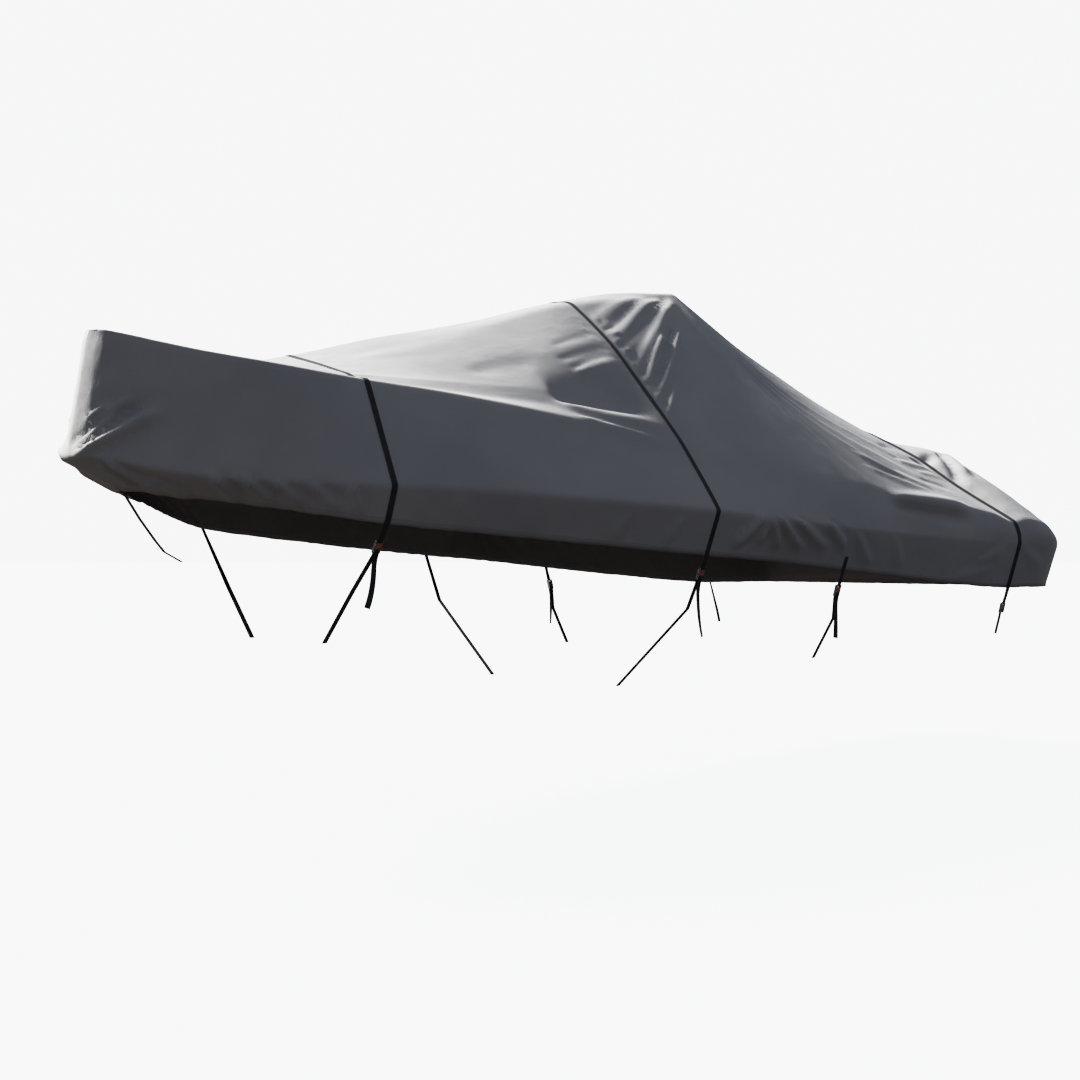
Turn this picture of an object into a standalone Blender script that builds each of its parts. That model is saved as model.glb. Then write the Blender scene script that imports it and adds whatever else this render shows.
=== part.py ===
"""Fitted boat cover with over-the-top tie-down straps, as it sits on a centre-console boat.

Metres, +Z up.  +X runs aft along the boat and the port side is -Y.  The origin is the inside
of the cloth under its highest point, where the boat's console holds it up.  Sections are
stated in boat stations: s is the distance aft of the stem along the rub rail, y the
half-breadth, and h the height above the aft corner of the hem.
"""
import math
from collections import namedtuple

import bmesh
import bpy
from mathutils import Matrix, Vector

# ------------------------------------------------------------------ driving dimensions
CLOTH = 0.002           # thickness of the cloth
PEAK_S = 3.49           # station of the highest point
PEAK_H = 1.622          # height of the inside of the cloth there
LENGTH = 5.585          # stem to transom along the rub rail
BOW_HEM_SET = 0.24      # how far aft of the stem the hem is drawn under the flare
BOW_RUB_SET = 0.015     # the same for the cloth's foremost corner, on the rub rail
BOW_RAIL_SET = 0.100    # and for the bow rail
BOW_FADE = 0.95         # length over which these set-backs die out
STERN_HEM_SET = 0.012   # how far forward of the transom corner the hem is drawn
STERN_RAIL_SET = 0.030  # and the rail edge stands
STERN_FADE = 0.50
TRANSOM_BULGE = 0.03    # crown of the transom panel

SKIRT_STEPS = 3         # faces from hem to rub rail
SIDE_STEPS = 3          # faces from rub rail to rail edge
TOP_STEPS = 9           # faces from rail edge to ridge

WEB_WIDTH = 0.025       # webbing of every strap
WEB_THICK = 0.0016
WEB_GAP = 0.0012        # clear space between webbing and cloth
PRESS_HALF = 0.017      # the cloth lies flat this far each side of a strap's middle
PRESS_EASE = 0.080      # and its folds come up over this length beyond

# Control sections.  hem, rub rail and rail edge each have a half-breadth y and a height h.
# swell is how far the side stands out between rub rail and rail edge.  top is the ridge's
# height; crest, shoulder and flank are how far the top stands above the straight line from
# ridge to rail edge, at the places named in BULGE_AT; dip is the sag just inside that edge.
Section = namedtuple("Section", "s hem_y hem_h rub_y rub_h rail_y rail_h swell top crest shoulder flank dip")
SECTIONS = [Section(*row) for row in (
    (0.00, 0.000, 0.442, 0.000, 0.562, 0.000, 1.077, 0.000, 1.077, 0.000, 0.000, 0.000, 0.000),
    (0.03, 0.035, 0.441, 0.095, 0.560, 0.070, 1.075, -0.005, 1.073, 0.000, 0.000, 0.000, 0.000),
    (0.08, 0.070, 0.437, 0.152, 0.552, 0.112, 1.067, -0.006, 1.064, 0.000, 0.000, 0.000, 0.002),
    (0.16, 0.115, 0.428, 0.222, 0.532, 0.160, 1.052, -0.005, 1.044, 0.000, 0.000, 0.000, 0.004),
    (0.30, 0.205, 0.414, 0.325, 0.502, 0.238, 1.025, 0.000, 1.004, 0.000, 0.000, 0.000, 0.008),
    (0.47, 0.315, 0.396, 0.440, 0.480, 0.330, 0.995, 0.000, 0.975, 0.000, 0.000, 0.000, 0.012),
    (0.70, 0.505, 0.363, 0.600, 0.468, 0.440, 0.960, 0.000, 0.994, 0.000, 0.000, 0.000, 0.014),
    (1.03, 0.735, 0.308, 0.790, 0.460, 0.590, 0.908, 0.000, 1.058, 0.000, 0.000, -0.004, 0.014),
    (1.45, 0.865, 0.270, 0.930, 0.446, 0.722, 0.858, 0.000, 1.172, 0.010, 0.012, 0.000, 0.018),
    (2.00, 0.970, 0.225, 1.045, 0.418, 0.820, 0.784, 0.000, 1.300, 0.050, 0.055, 0.030, 0.012),
    (2.60, 1.043, 0.180, 1.120, 0.385, 0.885, 0.710, 0.004, 1.468, 0.098, 0.108, 0.068, 0.000),
    (3.05, 1.072, 0.150, 1.150, 0.352, 0.960, 0.630, 0.006, 1.570, 0.085, 0.085, 0.050, 0.000),
    (3.49, 1.092, 0.112, 1.165, 0.318, 1.030, 0.572, 0.008, 1.624, 0.010, 0.000, 0.010, 0.000),
    (4.00, 1.105, 0.070, 1.175, 0.292, 1.090, 0.508, 0.010, 1.388, -0.004, -0.010, 0.000, 0.000),
    (4.57, 1.110, 0.026, 1.180, 0.262, 1.132, 0.446, 0.012, 1.168, 0.008, 0.012, 0.006, 0.000),
    (4.88, 1.110, 0.006, 1.180, 0.250, 1.146, 0.405, 0.014, 1.042, 0.026, 0.034, 0.014, 0.000),
    (5.05, 1.105, 0.000, 1.180, 0.246, 1.150, 0.366, 0.010, 0.980, 0.035, 0.045, 0.012, 0.000),
    (5.20, 1.105, 0.000, 1.180, 0.242, 1.150, 0.388, 0.016, 0.926, 0.050, 0.100, 0.062, 0.000),
    (5.40, 1.100, 0.000, 1.176, 0.237, 1.142, 0.368, 0.022, 0.872, 0.070, 0.134, 0.092, 0.000),
    (5.585, 1.045, 0.000, 1.118, 0.228, 1.078, 0.342, 0.020, 0.805, 0.060, 0.120, 0.085, 0.000),
)]
BULGE_AT = (0.18, 0.42, 0.70)       # of the way from the ridge to the rail edge
DIP_AT, DIP_HALF = 0.88, 0.12

# Stretches of stations, each as (from, to, faces).
STATION_RUNS = ((0.03, 0.16, 3), (0.16, 1.00, 7), (1.06, 2.57, 11), (2.63, 3.28, 6),
                (3.28, 3.49, 3), (3.49, 3.76, 3), (3.76, 5.02, 10), (5.08, 5.40, 3), (5.40, 5.585, 3))

# Main folds, each a soft ridge (depth over 0) or trough along a straight line on the cloth.
# w is the place on the half-girth: 0 hem, 1 rub rail, 2 rail edge, 3 ridge.
Fold = namedtuple("Fold", "side s0 w0 s1 w1 depth width")
PORT, STARBOARD = -1, 1
FOLDS = [Fold(*row) for row in (
    (PORT, 3.44, 2.93, 2.78, 2.30, 0.016, 0.060),
    (PORT, 3.45, 2.90, 3.00, 2.12, 0.018, 0.060),
    (PORT, 3.48, 2.88, 3.22, 1.95, 0.016, 0.060),
    (PORT, 3.52, 2.88, 3.46, 1.98, -0.012, 0.070),
    (PORT, 3.56, 2.88, 3.78, 2.20, 0.012, 0.070),
    (PORT, 3.60, 2.90, 4.35, 2.30, -0.010, 0.080),
    (STARBOARD, 3.44, 2.92, 2.86, 2.25, 0.015, 0.070),
    (STARBOARD, 3.48, 2.88, 3.12, 2.02, 0.016, 0.060),
    (STARBOARD, 3.53, 2.88, 3.50, 1.96, -0.012, 0.070),
    (STARBOARD, 3.58, 2.88, 4.05, 2.18, 0.012, 0.080),
    (PORT, 0.04, 1.06, 0.42, 1.42, 0.014, 0.040),
    (PORT, 0.03, 1.10, 0.22, 1.60, 0.010, 0.035),
    (STARBOARD, 0.04, 1.06, 0.36, 1.50, 0.013, 0.045),
    (PORT, 4.72, 2.55, 5.36, 2.36, -0.016, 0.060),
    (PORT, 4.86, 2.30, 5.44, 2.02, 0.012, 0.060),
    (STARBOARD, 4.80, 2.48, 5.40, 2.22, -0.014, 0.070),
    (PORT, 3.05, 0.95, 2.76, 0.10, 0.008, 0.050),
    (PORT, 3.12, 0.95, 3.10, 0.10, 0.008, 0.045),
    (PORT, 3.18, 0.95, 3.44, 0.10, 0.008, 0.050),
    (PORT, 1.03, 0.30, 0.62, 0.85, -0.008, 0.045),
    (STARBOARD, 2.40, 0.95, 2.14, 0.10, 0.008, 0.050),
    (STARBOARD, 2.52, 0.95, 2.66, 0.10, 0.008, 0.050),
)]

# Straps, each in the plane of its station.  Below the port hem the upper webbing ends at a
# buckle, and the lower webbing runs from there by way of a turn to its end.  tail is the
# length of the lower webbing's free end, and sway how far it swings fore or aft.
Strap = namedtuple("Strap", "name s buckle_y buckle_h turn_y turn_h end_y end_h tail sway")
OVER_STRAPS = [Strap(*row) for row in (
    ("front", 1.03, 0.690, 0.235, 0.500, 0.035, 0.290, -0.190, 0.24, -0.42),
    ("mid", 2.60, 1.020, 0.120, 0.926, -0.065, 0.468, -0.450, 0.29, 0.35),
    ("rear", 5.05, 1.083, -0.090, 1.050, -0.185, 1.030, -0.260, 0.00, 0.00),
)]
SIDE_STRAP = Strap("side", 3.55, 1.072, 0.030, 1.036, -0.130, 0.910, -0.335, 0.22, -0.05)
SIDE_SEWN = 1           # points of the skirt, up from the hem, that the side strap is sewn to
BOW_STRAP = ((0.262, 0.430), (0.330, 0.330), (0.400, 0.241), (0.440, 0.196), (0.519, 0.155))

# Cam buckle: a base plate with two cheeks, a bar for the upper webbing, a cam for the lower
# webbing, and a lever.  Places are (down the strap, out from the plate's back).
BUCKLE_LENGTH = 0.058
BUCKLE_WIDTH = 0.034
BUCKLE_DEPTH = 0.014
PLATE_THICK = 0.0016
PLATE_TOP = 0.012       # the base plate starts this far down, so the bar stands free
BAR_AT, BAR_RADIUS = (0.0045, 0.0080), 0.0018
CAM_AT, CAM_RADIUS = (0.0450, 0.0095), 0.0045
ROUND_SIDES = 16
WEB_CLEAR = 0.0006      # webbing to bar and cam
LEVER_TOP, LEVER_END = 0.0100, 0.0370
LEVER_BACK, LEVER_FRONT = 0.0122, 0.0146
LEVER_WIDTH = 0.0296
LAP_LENGTH = 0.035      # webbing sewn back on itself above a buckle
TURN_STEPS = 6          # faces in a half turn of webbing
TAIL_STEPS = 9
SEAM_GAP = 0.0004       # between the two layers of a lap

COLOURS = {"cloth": (0.150, 0.148, 0.150), "webbing": (0.018, 0.018, 0.020),
           "buckle": (0.050, 0.048, 0.050), "lever": (0.170, 0.035, 0.025)}
FINISHES = {"cloth": (0.85, 0.0), "webbing": (0.65, 0.0), "buckle": (0.40, 0.9), "lever": (0.45, 0.0)}
ACROSS = Vector((1.0, 0.0, 0.0))
PLUMB = Vector((0.0, 0.0, -1.0))


# ------------------------------------------------------------------ curves through tables
def smooth_table(knots, values, at):
    """Cubic through the table's rows that never overshoots them."""
    if at <= knots[0]:
        return values[0]
    if at >= knots[-1]:
        return values[-1]
    last = len(knots) - 1
    gaps = [knots[i + 1] - knots[i] for i in range(last)]
    rises = [(values[i + 1] - values[i]) / gaps[i] for i in range(last)]
    i = max(k for k in range(last) if knots[k] <= at)

    def slope(k):
        if k == 0:
            return rises[0]
        if k == last:
            return rises[-1]
        before, after = rises[k - 1], rises[k]
        if before * after <= 0:
            return 0.0
        near, far = 2 * gaps[k] + gaps[k - 1], gaps[k] + 2 * gaps[k - 1]
        return (near + far) / (near / before + far / after)

    u = (at - knots[i]) / gaps[i]
    rise = values[i + 1] - values[i]
    start, end = slope(i) * gaps[i], slope(i + 1) * gaps[i]
    return values[i] + u * (start + u * (3 * rise - 2 * start - end + u * (start + end - 2 * rise)))


def column(name, s):
    """One column of the section table at station s."""
    return smooth_table([row.s for row in SECTIONS], [getattr(row, name) for row in SECTIONS], s)


def ease(u):
    """0 to 1 with flat ends."""
    u = min(1.0, max(0.0, u))
    return u * u * (3 - 2 * u)


def set_back(s, bow, stern):
    """How far a row stands aft of its station: set back at the bow, forward at the stern."""
    bow_part = max(0.0, 1 - s / BOW_FADE) ** 2
    stern_part = max(0.0, 1 - (LENGTH - s) / STERN_FADE) ** 2
    return bow * bow_part - stern * stern_part


def ridge_height(s):
    """Ridge height: the slopes before and after the peak meet in a corner there."""
    rows = [row for row in SECTIONS if (row.s <= PEAK_S if s < PEAK_S else row.s >= PEAK_S)]
    return smooth_table([row.s for row in rows], [row.top for row in rows], s)


# ------------------------------------------------------------------ the cloth's form
def place(s, y, h):
    """Station coordinates to the part's own frame."""
    return Vector((s - PEAK_S, y, h - PEAK_H - CLOTH))


def half_section(s):
    """Outer face of the cloth at a station, hem to ridge, on the starboard (+Y) side."""
    get = {name: column(name, s) for name in Section._fields[1:]}
    hem = (s + set_back(s, BOW_HEM_SET, STERN_HEM_SET), get["hem_y"], get["hem_h"])
    rub = (s + set_back(s, BOW_RUB_SET, 0.0), get["rub_y"], get["rub_h"])
    rail = (s + set_back(s, BOW_RAIL_SET, STERN_RAIL_SET), get["rail_y"], get["rail_h"])
    points = []
    for k in range(SKIRT_STEPS):
        u = k / SKIRT_STEPS
        points.append(tuple(a + (b - a) * u for a, b in zip(hem, rub)))
    for k in range(SIDE_STEPS):
        u = k / SIDE_STEPS
        x, y, h = (a + (b - a) * u for a, b in zip(rub, rail))
        points.append((x, max(0.0, y + get["swell"] * math.sin(math.pi * u)), h))
    ridge = ridge_height(s)
    bulges = (0.0, get["crest"], get["shoulder"], get["flank"], 0.0)
    for k in range(TOP_STEPS + 1):
        out = 1 - k / TOP_STEPS
        chord = ridge + (rail[2] - ridge) * out
        bulge = smooth_table((0.0, *BULGE_AT, 1.0), bulges, out)
        sag = get["dip"] * max(0.0, 1 - abs(out - DIP_AT) / DIP_HALF)
        points.append((rail[0], rail[1] * out, chord + bulge - sag))
    return points


def full_section(s):
    """Port hem, over the ridge, to starboard hem."""
    half = half_section(s)
    port = [place(x, -y, h) for x, y, h in half]
    starboard = [place(x, y, h) for x, y, h in reversed(half[:-1])]
    return port + starboard


def stations():
    """Every station of the mesh: the runs, and a close pair at each over-strap."""
    found = {0.0, 0.01}
    for start, end, faces in STATION_RUNS:
        found.update(round(start + (end - start) * k / faces, 5) for k in range(faces + 1))
    for strap in OVER_STRAPS + [SIDE_STRAP]:
        found = {s for s in found if abs(s - strap.s) > 2 * PRESS_HALF}
        found.update((strap.s - PRESS_HALF, strap.s + PRESS_HALF))
    return sorted(found)


def surface_point(side, s, w):
    """Point of the smooth cloth at station s and half-girth place w."""
    half = half_section(s)
    steps = (SKIRT_STEPS, SIDE_STEPS, TOP_STEPS)
    whole = min(2, int(w))
    at = sum(steps[:whole]) + (w - whole) * steps[whole]
    k = min(len(half) - 2, int(at))
    x, y, h = (a + (b - a) * (at - k) for a, b in zip(half[k], half[k + 1]))
    return place(x, side * y, h)


def fold_height(point, lines):
    """Height of all the folds at a point of the cloth."""
    height = 0.0
    for start, end, depth, width in lines:
        run = end - start
        u = min(1.0, max(0.0, (point - start).dot(run) / run.length_squared))
        away = (point - (start + run * u)).length
        if away < 2.5 * width:
            along = ease(u / 0.25) * ease((1 - u) / 0.35)
            height += depth * along * math.exp(-(away / width) ** 2)
    return height


def cloth_surface():
    """Open surface of the cover: section loft, with the transom panel across its aft end."""
    bm = bmesh.new()
    rows = [[bm.verts.new(p) for p in full_section(s)] for s in stations()]
    for near, far in zip(rows, rows[1:]):
        for k in range(len(near) - 1):
            bm.faces.new((near[k], near[k + 1], far[k + 1], far[k]))
    last = rows[-1]
    edge = SKIRT_STEPS + SIDE_STEPS
    top = last[edge:len(last) - edge]
    columns = [list(reversed(last[:edge + 1]))]
    for k, head in enumerate(top[1:-1], start=1):
        across = -1 + 2 * k / (len(top) - 1)
        foot = Vector((last[0].co.x, abs(last[0].co.y) * across, last[0].co.z))
        bulge = TRANSOM_BULGE * (1 - across * across)
        drop = [head.co.lerp(foot, j / edge) for j in range(1, edge + 1)]
        for j, point in enumerate(drop, start=1):
            point.x += bulge * min(1.0, 2.5 * j / edge)
        columns.append([head] + [bm.verts.new(p) for p in drop])
    columns.append(last[len(last) - edge - 1:])
    for left, right in zip(columns, columns[1:]):
        for j in range(edge):
            bm.faces.new((left[j], left[j + 1], right[j + 1], right[j]))
    bmesh.ops.remove_doubles(bm, verts=bm.verts, dist=0.0001)
    bmesh.ops.dissolve_degenerate(bm, edges=bm.edges, dist=0.0001)
    bmesh.ops.recalc_face_normals(bm, faces=bm.faces)
    if sum(face.normal.z for face in bm.faces) < 0:
        bmesh.ops.reverse_faces(bm, faces=bm.faces)
    return bm


def raise_folds(bm):
    """Moves the cloth out or in along its normal by the folds, but not under a strap."""
    lines = [(surface_point(f.side, f.s0, f.w0), surface_point(f.side, f.s1, f.w1), f.depth, f.width)
             for f in FOLDS]
    pressed = [strap.s - PEAK_S for strap in OVER_STRAPS]
    skirt_top = surface_point(PORT, SIDE_STRAP.s, 1.2).z
    bm.normal_update()
    moves = []
    for vert in bm.verts:
        low = [SIDE_STRAP.s - PEAK_S] if vert.co.z < skirt_top else []
        nearest = min(abs(vert.co.x - x) for x in pressed + low)
        free = ease((nearest - PRESS_HALF) / PRESS_EASE)
        moves.append(vert.normal * fold_height(vert.co, lines) * free)
    for vert, move in zip(bm.verts, moves):
        vert.co += move


# ------------------------------------------------------------------ objects and materials
def material(slot):
    made = bpy.data.materials.get(slot) or bpy.data.materials.new(slot)
    made.use_nodes = True
    shader = made.node_tree.nodes["Principled BSDF"]
    shader.inputs["Base Color"].default_value = (*COLOURS[slot], 1.0)
    shader.inputs["Roughness"].default_value, shader.inputs["Metallic"].default_value = FINISHES[slot]
    return made


def add_object(name, bm, slot, collection):
    mesh = bpy.data.meshes.new(name)
    bm.to_mesh(mesh)
    bm.free()
    mesh.materials.append(material(slot))
    made = bpy.data.objects.new(name, mesh)
    collection.objects.link(made)
    return made


def make_cover(collection):
    bm = cloth_surface()
    raise_folds(bm)
    cover = add_object("cover", bm, "cloth", collection)
    shell = cover.modifiers.new("thickness", "SOLIDIFY")
    shell.thickness = CLOTH
    shell.offset = -1.0
    cover.data.shade_smooth()
    return cover


# ------------------------------------------------------------------ webbing
def ribbon(frames, thick=WEB_THICK):
    """Closed strip of webbing.  Each frame is (middle, half-width vector, unit normal)."""
    bm = bmesh.new()
    rings = []
    for middle, half, normal in frames:
        lift = normal * (thick / 2)
        corners = (middle - half - lift, middle + half - lift, middle + half + lift, middle - half + lift)
        rings.append([bm.verts.new(corner) for corner in corners])
    for near, far in zip(rings, rings[1:]):
        for k in range(4):
            bm.faces.new((near[k], near[(k + 1) % 4], far[(k + 1) % 4], far[k]))
    bm.faces.new(rings[0])
    bm.faces.new(rings[-1])
    bmesh.ops.recalc_face_normals(bm, faces=bm.faces)
    return bm


def strip_frames(middles, halves):
    """Frames along a path; the normal is on the same hand of the run all the way."""
    frames = []
    for k, middle in enumerate(middles):
        before = middles[max(0, k - 1)]
        after = middles[min(len(middles) - 1, k + 1)]
        frames.append((middle, halves[k], (after - before).cross(halves[k]).normalized()))
    return frames


def offset_path(points, halves, distance):
    """The path moved sideways by a clear distance, corners mitred."""
    moved = []
    for k, point in enumerate(points):
        runs = [(points[j + 1] - points[j]).normalized() for j in (k - 1, k) if 0 <= j < len(points) - 1]
        sides = [run.cross(halves[k]).normalized() for run in runs]
        mean = sum(sides, Vector()).normalized()
        moved.append(point + mean * (distance / max(0.5, mean.dot(sides[0]))))
    return moved


def pressed_line(s, side=None, count=None):
    """Cloth under a strap at station s, port hem to starboard hem: points and half widths."""
    fore, aft = full_section(s - PRESS_HALF), full_section(s + PRESS_HALF)
    if side == STARBOARD:
        fore, aft = fore[::-1], aft[::-1]
    points = [(a + b) / 2 for a, b in zip(fore, aft)]
    halves = [(b - a).normalized() * (WEB_WIDTH / 2) for a, b in zip(fore, aft)]
    return points[:count], halves[:count]


def arc(centre, first, second, radius, start, end, steps):
    """Points on a circle; angles in degrees from the first axis towards the second."""
    turns = [math.radians(start + (end - start) * k / steps) for k in range(steps + 1)]
    return [centre + (first * math.cos(a) + second * math.sin(a)) * radius for a in turns]


def buckle_axes(strap, hem, side):
    """Origin and axes of a buckle below the hem: down the strap, out from the boat."""
    at = place(strap.s, side * strap.buckle_y, strap.buckle_h)
    down = (at - hem).normalized()
    out = ACROSS.cross(down) * -side
    out = out if out.y * side > 0 else -out
    reach = BAR_AT[1] + BAR_RADIUS + WEB_CLEAR + WEB_THICK / 2
    return at - down * BAR_AT[0] - out * reach, down, out


def lap_round_bar(origin, down, out):
    """Upper webbing from the buckle's bar back up behind itself, main run first."""
    radius = BAR_RADIUS + WEB_CLEAR + WEB_THICK / 2
    bar = origin + down * BAR_AT[0] + out * BAR_AT[1]
    turn = arc(bar, out, down, radius, 0, 180, TURN_STEPS)
    layer = out * (radius - (WEB_THICK + SEAM_GAP))
    lap = [bar + layer - down * (LAP_LENGTH * u) for u in (0.45, 1.0)]
    return turn + lap


def lower_path(strap, axes, side):
    """Lower webbing: tail end, up over the cam, down behind it, and on to its far end."""
    origin, down, out = axes
    radius = CAM_RADIUS + WEB_CLEAR + WEB_THICK / 2
    cam = origin + down * CAM_AT[0] + out * CAM_AT[1]
    front = cam + out * radius
    tail = []
    for k in range(1, TAIL_STEPS + 1):
        u = k / TAIL_STEPS
        way = down.lerp(PLUMB, ease(2.5 * u)) + ACROSS * (strap.sway * u * u)
        tail.append((tail[-1] if tail else front) + way.normalized() * (strap.tail / TAIL_STEPS))
    turn = arc(cam, out, -down, radius, 0, 180, TURN_STEPS)
    behind = turn[-1] + down * (BUCKLE_LENGTH - CAM_AT[0] + 0.012)
    ends = [place(strap.s, side * strap.turn_y, strap.turn_h), place(strap.s, side * strap.end_y, strap.end_h)]
    return tail[::-1] * (strap.tail > 0) + turn + [behind] + ends


def make_strip(name, middles, collection, halves=None):
    halves = halves or [ACROSS * (WEB_WIDTH / 2)] * len(middles)
    return add_object(name, ribbon(strip_frames(middles, halves)), "webbing", collection)


def make_over_strap(strap, collection):
    """Upper webbing: port buckle, over the cover, and down to its starboard end."""
    cloth, widths = pressed_line(strap.s)
    over = offset_path(cloth, widths, -(WEB_GAP + WEB_THICK / 2))
    axes = buckle_axes(strap, over[0], PORT)
    lap = lap_round_bar(*axes)[::-1]
    ends = [place(strap.s, strap.turn_y, strap.turn_h), place(strap.s, strap.end_y, strap.end_h)]
    flat = [ACROSS * (WEB_WIDTH / 2)]
    make_strip(f"strap_{strap.name}", lap + over + ends, collection,
               flat * len(lap) + widths + flat * len(ends))
    return axes


def make_side_strap(side, collection):
    """Short webbing sewn to the skirt, with the buckle at its lower end."""
    cloth, widths = pressed_line(SIDE_STRAP.s, side, SIDE_SEWN + 1)
    sewn = offset_path(cloth, widths, side * (WEB_GAP + WEB_THICK / 2))
    axes = buckle_axes(SIDE_STRAP, sewn[0], side)
    lap = lap_round_bar(*axes)[::-1]
    name = "port" if side == PORT else "starboard"
    flat = [ACROSS * (WEB_WIDTH / 2)]
    make_strip(f"tab_{name}", lap + sewn, collection, flat * len(lap) + widths)
    make_buckle(name, axes, collection)
    make_strip(f"tie_{name}", lower_path(SIDE_STRAP, axes, side), collection)


# ------------------------------------------------------------------ buckles
def box(bm, low, high):
    made = bmesh.ops.create_cube(bm, size=1.0)["verts"]
    for vert in made:
        vert.co = Vector(low[k] + (high[k] - low[k]) * (vert.co[k] + 0.5) for k in range(3))


def box_mesh(name, low, high):
    bm = bmesh.new()
    box(bm, low, high)
    mesh = bpy.data.meshes.new(name)
    bm.to_mesh(mesh)
    bm.free()
    return mesh


def rod_mesh(name, at, radius, length):
    """Cylinder across the buckle (local x), at (down, out)."""
    bm = bmesh.new()
    made = bmesh.ops.create_cone(bm, cap_ends=True, segments=ROUND_SIDES, radius1=radius, radius2=radius,
                                 depth=length)["verts"]
    for vert in made:
        vert.co = Vector((vert.co.z, at[0] + vert.co.x, at[1] + vert.co.y))
    bmesh.ops.recalc_face_normals(bm, faces=bm.faces)
    mesh = bpy.data.meshes.new(name)
    bm.to_mesh(mesh)
    bm.free()
    return mesh


def buckle_mesh():
    """One body: plate, cheeks, bar and cam joined."""
    wide = BUCKLE_WIDTH / 2
    inner = wide - PLATE_THICK
    rod = 2 * inner + PLATE_THICK
    meshes = [box_mesh("plate", (-wide, PLATE_TOP, 0.0), (wide, BUCKLE_LENGTH, PLATE_THICK)),
              box_mesh("cheek_a", (-wide, 0.0, 0.0), (-inner, BUCKLE_LENGTH, BUCKLE_DEPTH)),
              box_mesh("cheek_b", (inner, 0.0, 0.0), (wide, BUCKLE_LENGTH, BUCKLE_DEPTH)),
              rod_mesh("bar", BAR_AT, BAR_RADIUS, rod), rod_mesh("cam", CAM_AT, CAM_RADIUS, rod)]
    helpers = [bpy.data.objects.new(mesh.name, mesh) for mesh in meshes]
    for helper in helpers:
        bpy.context.scene.collection.objects.link(helper)
    for helper in helpers[1:]:
        join = helpers[0].modifiers.new("join", "BOOLEAN")
        join.operation = "UNION"
        join.object = helper
    graph = bpy.context.evaluated_depsgraph_get()
    joined = bpy.data.meshes.new_from_object(helpers[0].evaluated_get(graph))
    for helper in helpers:
        bpy.data.objects.remove(helper)
    joined.name = "buckle"
    return joined


def make_buckle(name, axes, collection):
    """Places a buckle and its lever in the strap's own axes."""
    origin, down, out = axes
    across = down.cross(out)
    turn = Matrix((across, down, out)).transposed().to_4x4()
    half = LEVER_WIDTH / 2
    meshes = {"buckle": bpy.data.meshes.get("buckle") or buckle_mesh(),
              "lever": bpy.data.meshes.get("lever")
              or box_mesh("lever", (-half, LEVER_TOP, LEVER_BACK), (half, LEVER_END, LEVER_FRONT))}
    for slot, mesh in meshes.items():
        if not mesh.materials:
            mesh.materials.append(material(slot))
        made = bpy.data.objects.new(f"{slot}_{name}", mesh)
        made.matrix_world = Matrix.Translation(origin) @ turn
        edges = made.modifiers.new("rounded", "BEVEL")
        edges.width = 0.0004
        edges.segments = 1
        edges.limit_method = "ANGLE"
        collection.objects.link(made)


# ------------------------------------------------------------------ the whole cover
def main():
    for old in list(bpy.data.objects):
        bpy.data.objects.remove(old)
    collection = bpy.data.collections.new("boat_cover")
    bpy.context.scene.collection.children.link(collection)
    make_cover(collection)
    for strap in OVER_STRAPS:
        axes = make_over_strap(strap, collection)
        make_buckle(strap.name, axes, collection)
        make_strip(f"tie_{strap.name}", lower_path(strap, axes, PORT), collection)
    for side in (PORT, STARBOARD):
        make_side_strap(side, collection)
    bow = [place(s, 0.0, h) for s, h in BOW_STRAP]
    make_strip("tie_bow", bow, collection, [Vector((0.0, WEB_WIDTH / 2, 0.0))] * len(bow))


main()
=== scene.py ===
"""Looks of a fitted boat cover: charcoal cloth with its folds, black webbing, buckles, light and camera.

Metres, +Z up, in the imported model's frame: +X aft, port is -Y, and the origin is the inside of the
cloth under its peak.  The cloth's form is stated in boat stations, as in the model: s is the distance
aft of the stem, y the half-breadth and h the height above the aft corner of the hem.  A place on the
cloth is a station and a half-girth w: 0 hem, 1 rub rail, 2 rail edge, 3 ridge.
"""
import math
from collections import namedtuple

import bmesh
import bpy
import numpy as np
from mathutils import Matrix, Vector, noise


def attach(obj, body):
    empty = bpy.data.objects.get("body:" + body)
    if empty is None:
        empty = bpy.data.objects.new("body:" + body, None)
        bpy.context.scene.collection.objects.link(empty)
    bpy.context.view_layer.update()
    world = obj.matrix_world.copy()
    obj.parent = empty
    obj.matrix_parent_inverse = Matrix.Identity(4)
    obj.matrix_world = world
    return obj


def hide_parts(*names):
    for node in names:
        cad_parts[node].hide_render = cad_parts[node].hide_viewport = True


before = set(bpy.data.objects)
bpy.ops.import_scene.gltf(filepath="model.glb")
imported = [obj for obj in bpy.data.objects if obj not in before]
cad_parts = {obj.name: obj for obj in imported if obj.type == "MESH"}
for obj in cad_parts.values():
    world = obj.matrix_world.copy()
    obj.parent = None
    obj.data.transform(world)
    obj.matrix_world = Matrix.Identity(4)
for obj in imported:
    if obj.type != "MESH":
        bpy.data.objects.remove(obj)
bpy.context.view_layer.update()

# ------------------------------------------------------------------ the model's own sizes
CLOTH = 0.002            # thickness
PEAK_S, PEAK_H = 3.49, 1.622
LENGTH = 5.585
BOW_HEM_SET, BOW_RUB_SET, BOW_RAIL_SET, BOW_FADE = 0.24, 0.015, 0.100, 0.95
STERN_HEM_SET, STERN_RAIL_SET, STERN_FADE = 0.012, 0.030, 0.50
TRANSOM_BULGE = 0.022
WEB_WIDTH, WEB_THICK, WEB_GAP = 0.025, 0.0016, 0.0012
PRESS_HALF = 0.017       # the cloth lies flat this far each side of a strap's middle
PRESS_EASE = 0.035       # and gets its folds back over this distance
PORT, STARBOARD = -1, 1

# A station of the cloth: half-breadths and heights of its hem, rub rail and rail edge, how far its side
# swells, its ridge's height and how far the top bulges above a straight line from ridge to rail.

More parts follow.
